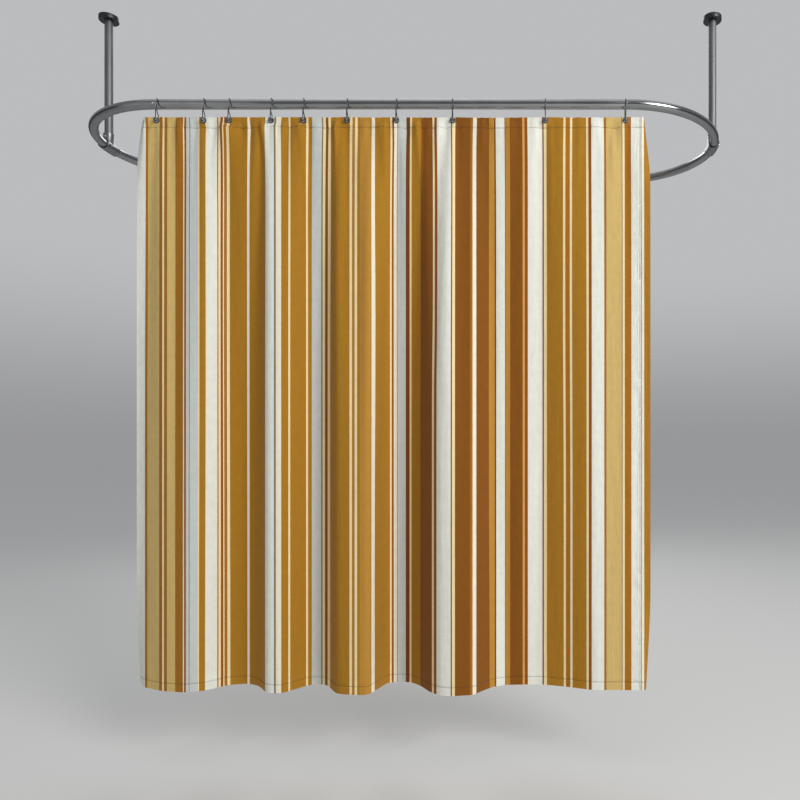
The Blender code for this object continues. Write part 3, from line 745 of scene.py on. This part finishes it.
def smoothed(values, half):
    # each value becomes a mean of its neighbours, weighted by a bell curve
    weights = np.exp(-0.5 * (np.arange(-3 * half, 3 * half + 1) / half) ** 2)
    padded = np.pad(values, 3 * half, mode="edge")
    return np.convolve(padded, weights / weights.sum(), mode="valid")


fineAcross = np.linspace(0, 1, 1631)  # about a millimetre apart
planAcross, planDepth = np.array(foldPlan, float).T
fineDepth = smoothed(np.interp(fineAcross, planAcross / planAcross[-1], planDepth / 1000), 8)


def clothShape(across, down):
    # x runs with the print, y is the fold plan opened up down the height, z falls straight;
    # each point then slides along the line of sight of someone standing before the curtain
    below = np.maximum(down - curtain["flatTop"], 0)
    opened = 1 - np.exp(-below / (curtain["openingShare"] * clothHeight))
    depth = np.interp(across, fineAcross, fineDepth) * opened
    centreX, distance = curtain["standsBefore"]
    x = flatX = leftX + across * clothWidth
    for edge, sign, *curls in zip((leftX, rightX), (1, -1), curtain["topCurls"], curtain["lowCurls"]):
        for off, (width, drop, degrees, power) in zip((down, clothHeight - down), curls):
            # the strip outside the bend line turns back by an angle that fades along the edge
            outside = np.maximum(width - sign * (flatX - edge), 0)
            angle = math.radians(degrees) * np.clip(1 - off / drop, 0, 1) ** power
            x = x + sign * outside * (1 - np.cos(angle))
            depth = depth + outside * np.sin(angle)
    x = centreX + (x - centreX) * (distance + depth) / distance
    return np.stack([x, -ringY + depth, topZ - down], axis=-1)


def lengthsAlong(way):
    # distance from the start of a way to each of its points
    return np.concatenate([[0], np.cumsum(np.linalg.norm(np.diff(way, axis=0), axis=1))])


arc = lengthsAlong(clothShape(fineAcross, np.full_like(fineAcross, clothHeight)))
print(f"cloth hangs {clothWidth:.3f} m wide, {arc[-1]:.3f} m along its hem")


def evenColumns(step):
    # columns an even distance apart along the hem
    return np.interp(np.linspace(0, arc[-1], round(arc[-1] / step) + 1), arc, fineAcross)


hang = {
    "step": 0.019, "frames": 30, "quality": 6,
    "mass": 0.12, "stretch": 40, "shear": 8, "bend": 0.9, "air": 4, "shrink": -0.010,
    "nearHook": 0.016, "topBand": 0.02,  # where it is held, and where it is stiffer
    "holds": (1.0, 0.72, 0.05),  # at the hooks, in the band and below it
    "moveLimit": (0.0015, 0.014, 0.004),  # furthest that the hang may move a point
}


def hangCloth():
    # Blender's cloth on a coarse copy, held at the eyelets; returns how far it moved each point
    columns = evenColumns(hang["step"])
    rows = np.linspace(0, clothHeight, round(clothHeight / hang["step"]) + 1)
    down, across = np.meshgrid(rows, columns, indexing="ij")
    start = clothShape(across, down)
    sheet = makePiece("hangTrial", start, gridQuads(*down.shape), clothFront, weld=False)
    near = np.linalg.norm(start[:, :, None, [0, 2]] - hookPlaces[None, None], axis=-1).min(axis=2)
    atHook, inBand, free = hang["holds"]
    hold = np.where(down < hang["topBand"], inBand, free)
    hold = np.where(near < hang["nearHook"], atHook, hold).ravel()
    held = sheet.vertex_groups.new(name="held")
    for weight in np.unique(hold):
        held.add(np.flatnonzero(hold == weight).tolist(), float(weight), "REPLACE")
    cloth = sheet.modifiers.new("hang", "CLOTH").settings
    cloth.quality, cloth.mass, cloth.air_damping = hang["quality"], hang["mass"], hang["air"]
    cloth.tension_stiffness = cloth.compression_stiffness = hang["stretch"]
    cloth.shear_stiffness, cloth.bending_stiffness = hang["shear"], hang["bend"]
    cloth.shrink_min = hang["shrink"]
    cloth.vertex_group_mass, cloth.pin_stiffness = "held", 1.0
    for frameNumber in range(1, hang["frames"] + 1):
        scene.frame_set(frameNumber)
    graph = bpy.context.evaluated_depsgraph_get()
    ended = bpy.data.meshes.new_from_object(sheet.evaluated_get(graph))
    places = np.empty(len(ended.vertices) * 3)
    ended.vertices.foreach_get("co", places)
    moved = places.reshape(start.shape) - start
    size = np.linalg.norm(moved, axis=-1) * 1000
    print(f"the hang moved the cloth {size.mean():.1f} mm on average, {size.max():.1f} most")
    moved[..., 2] -= moved[-1, :, 2].mean() * (rows / clothHeight)[:, None]  # no stretch downwards
    limit = np.array(hang["moveLimit"])
    moved = limit * np.tanh(moved / limit)
    centreX, distance = curtain["standsBefore"]
    moved[..., 0] += (start[..., 0] - centreX) * moved[..., 1] / distance
    scene.frame_set(1)
    bpy.data.objects.remove(sheet)
    return columns, rows, moved


def between(places, values, wanted):
    # cubic interpolation along the first axis, with slopes from the neighbours
    slopes = np.gradient(values, places, axis=0)
    index = np.clip(np.searchsorted(places, wanted, side="right") - 1, 0, len(places) - 2)
    span = (places[index + 1] - places[index])[:, None, None]
    t = ((wanted - places[index])[:, None, None]) / span
    ease = 3 * t ** 2 - 2 * t ** 3
    level = (1 - ease) * values[index] + ease * values[index + 1]
    lift = (t ** 3 - 2 * t ** 2 + t) * slopes[index] + (t ** 3 - t ** 2) * slopes[index + 1]
    return level + span * lift


lowStitchAt = clothHeight - clothFinish["lowStitch"]
topStitchAt = clothFinish["topStitch"]
near = np.array([-0.006, -0.003, 0.0, 0.003, 0.006])  # rows either side of a stitch line
rowPlaces = np.linspace(0, clothHeight, round(clothHeight / curtain["step"][1]) + 1)
eyeletDown = topZ - hookPlaces[0, 1]
holeRadius = eyelet["barrel"] + eyelet["play"]
holeLines = np.array([-1, 0, 1]) * holeRadius
for line, around in ((topStitchAt, near), (lowStitchAt, near), (eyeletDown, holeLines)):
    clear = around[-1] + curtain["lineGap"]
    rowPlaces = rowPlaces[(np.abs(rowPlaces - line) > clear) | (rowPlaces == 0)]
    rowPlaces = np.sort(np.concatenate([rowPlaces, line + around]))
columnPlaces = evenColumns(curtain["step"][0])
sideStitchAt = 1 - clothFinish["sideStitch"] / clothWidth
eyeletsAcross = (hookPlaces[:, 0] - leftX) / clothWidth
for line, around in [(sideStitchAt, near[[0, 2, 4]] / 2)] + [(e, holeLines) for e in eyeletsAcross]:
    clear = (around[-1] + curtain["lineGap"]) / clothWidth
    columnPlaces = columnPlaces[(np.abs(columnPlaces - line) > clear) | (columnPlaces == 0)
                                | (columnPlaces == 1)]
    columnPlaces = np.sort(np.concatenate([columnPlaces, line + around / clothWidth]))
down, across = np.meshgrid(rowPlaces, columnPlaces, indexing="ij")
# round holes for the eyelets: the eight points round each one slide onto its circle
openQuads = np.zeros((len(rowPlaces) - 1, len(columnPlaces) - 1), bool)
eyeletRow = np.argmin(np.abs(rowPlaces - eyeletDown))
for place in eyeletsAcross:
    column = np.argmin(np.abs(columnPlaces - place))
    openQuads[eyeletRow - 1:eyeletRow + 1, column - 1:column + 1] = True
    spot = np.ix_(range(eyeletRow - 1, eyeletRow + 2), range(column - 1, column + 2))
    offDown, offAcross = down[spot] - eyeletDown, (across[spot] - place) * clothWidth
    pull = holeRadius / np.maximum(np.hypot(offDown, offAcross), holeRadius)
    down[spot], across[spot] = eyeletDown + offDown * pull, place + offAcross * pull / clothWidth
middle = clothShape(across, down)
simColumns, simRows, moved = hangCloth()
moved = between(simRows, moved, rowPlaces)
moved = between(simColumns, moved.transpose(1, 0, 2), columnPlaces).transpose(1, 0, 2)
middle = middle + moved

# puckers: short creases that fan out under the top stitch line, and a gathered right side seam
x = leftX + across * clothWidth
pucker = {"each": 4, "depth": 0.0084, "long": 0.075, "wide": 0.0068, "spread": 0.045, "lean": 0.12,
          "seamDepth": 0.0024, "seamWide": 0.009}
ruffle = np.zeros_like(x)
rise = np.clip(down / topStitchAt, 0, 1) ** 1.5
for place in np.concatenate([hookPlaces[:, 0], (hookPlaces[1:, 0] + hookPlaces[:-1, 0]) / 2]):
    for crease in range(pucker["each"]):
        centre = place + draws.uniform(-1, 1) * pucker["spread"]
        lean = draws.uniform(-1, 1) * pucker["lean"]
        depth = pucker["depth"] * draws.uniform(0.4, 1.0) * draws.choice((-1, 1))
        long = pucker["long"] * draws.uniform(0.5, 1.6)
        off = (x - centre - lean * down) / (pucker["wide"] * draws.uniform(0.7, 1.5))
        fade = np.exp(-np.maximum(down - topStitchAt, 0) / long)
        ruffle += depth * np.exp(-off ** 2 / 2) * rise * fade
seamOff = (across - sideStitchAt) * clothWidth
seamWave = draws.uniform(-1, 1, len(rowPlaces))[:, None]
ruffle += pucker["seamDepth"] * seamWave * np.exp(-(seamOff / pucker["seamWide"]) ** 2)
# the cloth stays flat where an eyelet clamps it
fromEyelet = np.min([np.hypot(x - place, down - eyeletDown) for place in hookPlaces[:, 0]], axis=0)
ruffle *= np.clip((fromEyelet - eyelet["flat"]) / eyelet["flat"], 0, 1)
middle[..., 1] += ruffle
acrossWay, downWay = np.gradient(middle, axis=1), np.gradient(middle, axis=0)
facing = unit(np.cross(downWay, acrossWay))
middle += facing * curtain["frontLayer"]


def clothUv(across, down):
    # share of the width, and share of the height from the hem up
    return np.stack([across, 1 - down / clothHeight], axis=-1).reshape(-1, 2)


def shellPiece(name, surface, normals, uv, holes, materials):
    # a front grid and a back grid half a thickness either side, joined round every free edge
    rows, columns = surface.shape[:2]
    count, half = rows * columns, normals * curtain["thickness"] / 2
    points = np.concatenate([(surface + half).reshape(-1, 3), (surface - half).reshape(-1, 3)])
    quads = gridQuads(rows, columns)[~holes.ravel()]
    edges = np.concatenate([quads[:, [k, (k + 1) % 4]] for k in range(4)])
    single = ~np.isin(edges[:, 0] * count + edges[:, 1], edges[:, 1] * count + edges[:, 0])
    begin, end = edges[single].T
    rim = np.stack([end, begin, begin + count, end + count], axis=1)
    piece = makePiece(name, points, np.concatenate([quads, quads[:, ::-1] + count, rim]), materials[0],
                      weld=False, sharp=60)
    mesh = piece.data
    mesh.materials.append(materials[1])
    kinds = np.concatenate([np.zeros(len(quads)), np.ones(len(quads)), np.zeros(len(rim))])
    mesh.polygons.foreach_set("material_index", kinds.astype(np.int32))
    corners = np.empty(len(mesh.loops), np.int32)
    mesh.loops.foreach_get("vertex_index", corners)
    layer = mesh.uv_layers.new(name="clothMap")
    layer.uv.foreach_set("vector", np.tile(uv, (2, 1))[corners].astype(np.float32).ravel())
    return piece


clothPiece = shellPiece("curtainCloth", middle, facing, clothUv(across, down), openQuads,
                        (clothFront, clothBack))
softPieces = [clothPiece]

hem = {"top": 0.036, "low": 0.028, "left": 0.018, "right": 0.042, "behind": 0.0009, "slack": 0.0035}


def makeHem(name, rows, columns):
    # the cloth's own grid, one layer further back
    part = np.ix_(rows, columns)
    softPieces.append(shellPiece(
        name, middle[part] - facing[part] * hem["behind"], facing[part],
        clothUv(across[part], down[part]), openQuads[np.ix_(rows[:-1], columns[:-1])],
        (clothBack, clothFront)))


allColumns = np.arange(len(columnPlaces))
topRows = np.flatnonzero(rowPlaces <= hem["top"] + hem["slack"])
lowRows = np.flatnonzero(rowPlaces >= clothHeight - hem["low"] - hem["slack"])
sideRows = np.arange(topRows[-1] + 1, lowRows[0])
makeHem("topHem", topRows, allColumns)
makeHem("lowHem", lowRows, allColumns)
makeHem("leftHem", sideRows, np.flatnonzero(columnPlaces <= hem["left"] / clothWidth))
makeHem("rightHem", sideRows, np.flatnonzero(columnPlaces >= 1 - hem["right"] / clothWidth))

stitch = {"long": 0.0030, "gap": 0.0014, "radius": 0.00042, "arch": 0.0003, "sides": 5, "inEdge": 0.006,
          "wander": 0.0024, "wanderStep": 0.006}  # the side seam was sewn by hand and wanders


def readAlong(lengths, values, at):
    # the three coordinates of a way, read at the given lengths
    return np.stack([np.interp(at, lengths, values[:, k]) for k in range(3)], axis=-1)


def makeStitches(name, way, facingWay, side):
    # little arched capsules: radius falls as the square root of 1 - t squared, height as 1 - t squared
    lengths = lengthsAlong(way)
    pitch = stitch["long"] + stitch["gap"]
    centres = np.arange(stitch["inEdge"], lengths[-1] - stitch["inEdge"], pitch)
    t = np.array([-1, -0.7, 0.0, 0.7, 1])
    at = centres[:, None] + t * stitch["long"] / 2
    place, normal = readAlong(lengths, way, at), unit(readAlong(lengths, facingWay, at)) * side
    across = np.cross(unit(place[:, -1:] - place[:, :1]) * np.ones((1, len(t), 1)), normal)
    lift = curtain["thickness"] / 2 + stitch["arch"] * (1 - t ** 2)
    if side < 0:
        lift = lift + hem["behind"]
    place = place + normal * lift[None, :, None]
    radii = np.tile(stitch["radius"] * np.sqrt(1 - t ** 2), len(centres))
    rings = sweepRings(place.reshape(-1, 3), across.reshape(-1, 3), normal.reshape(-1, 3), radii,
                       stitch["sides"]).reshape(len(centres), len(t) * stitch["sides"], 3)
    quads = gridQuads(len(t), stitch["sides"], False, True)
    quads = (quads[None] + np.arange(len(centres))[:, None, None] * rings.shape[1]).reshape(-1, 4)
    softPieces.append(makePiece(name, rings, quads, darkThread, sharp=180))


topRow = np.argmin(np.abs(rowPlaces - topStitchAt))
lowRow = np.argmin(np.abs(rowPlaces - lowStitchAt))
sideColumn = np.argmin(np.abs(columnPlaces - sideStitchAt))
sideRun = slice(topRow + 2, lowRow - 1)
fineRows = np.arange(rowPlaces[sideRun][0], rowPlaces[sideRun][-1], stitch["wanderStep"])
sideLine, sideFacing, sideWay = (
    readAlong(rowPlaces[sideRun], field[sideRun, sideColumn], fineRows)
    for field in (middle, facing, unit(acrossWay)))
wander = smoothed(draws.normal(0, 1, len(fineRows)), 1) * stitch["wander"]
sideLine += sideWay * wander[:, None]
for label, line, normals in (("top", middle[topRow], facing[topRow]),
                             ("low", middle[lowRow], facing[lowRow]), ("side", sideLine, sideFacing)):
    makeStitches(f"{label}StitchesFront", line, normals, 1)
    makeStitches(f"{label}StitchesBack", line, normals, -1)

drawJoint = next(joint for joint in frame["joints"] if joint["name"] == "curtain_draw")
hookSpan = hookPlaces[-1, 0] - hookPlaces[0, 0]
keptShare = 1 - max(abs(limit) for limit in drawJoint["range_m"]) / hookSpan
for piece in softPieces:
    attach(piece, "curtain")
    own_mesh(piece)
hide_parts(*[f"curtain_panel_{n:02d}" for n in range(1, hookCount + 1)])
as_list(softPieces[1:])
print(f"cloth ready, {len(clothPiece.data.polygons)} faces")

# floor

floor = {"drop": 0.24, "half": 30.0, "color": (206, 206, 204), "roughness": 0.75}
floorZ, half = lowZ - floor["drop"], floor["half"]
floorMaterial, _, _ = newMaterial("paleFloor", 0.0, floor["roughness"],
                                  {"Base Color": linear(floor["color"])})
floorPiece = makePiece("studioFloor", [(-half, -half, floorZ), (half, -half, floorZ),
                                       (half, half, floorZ), (-half, half, floorZ)],
                       [(0, 1, 2, 3)], floorMaterial, weld=False)
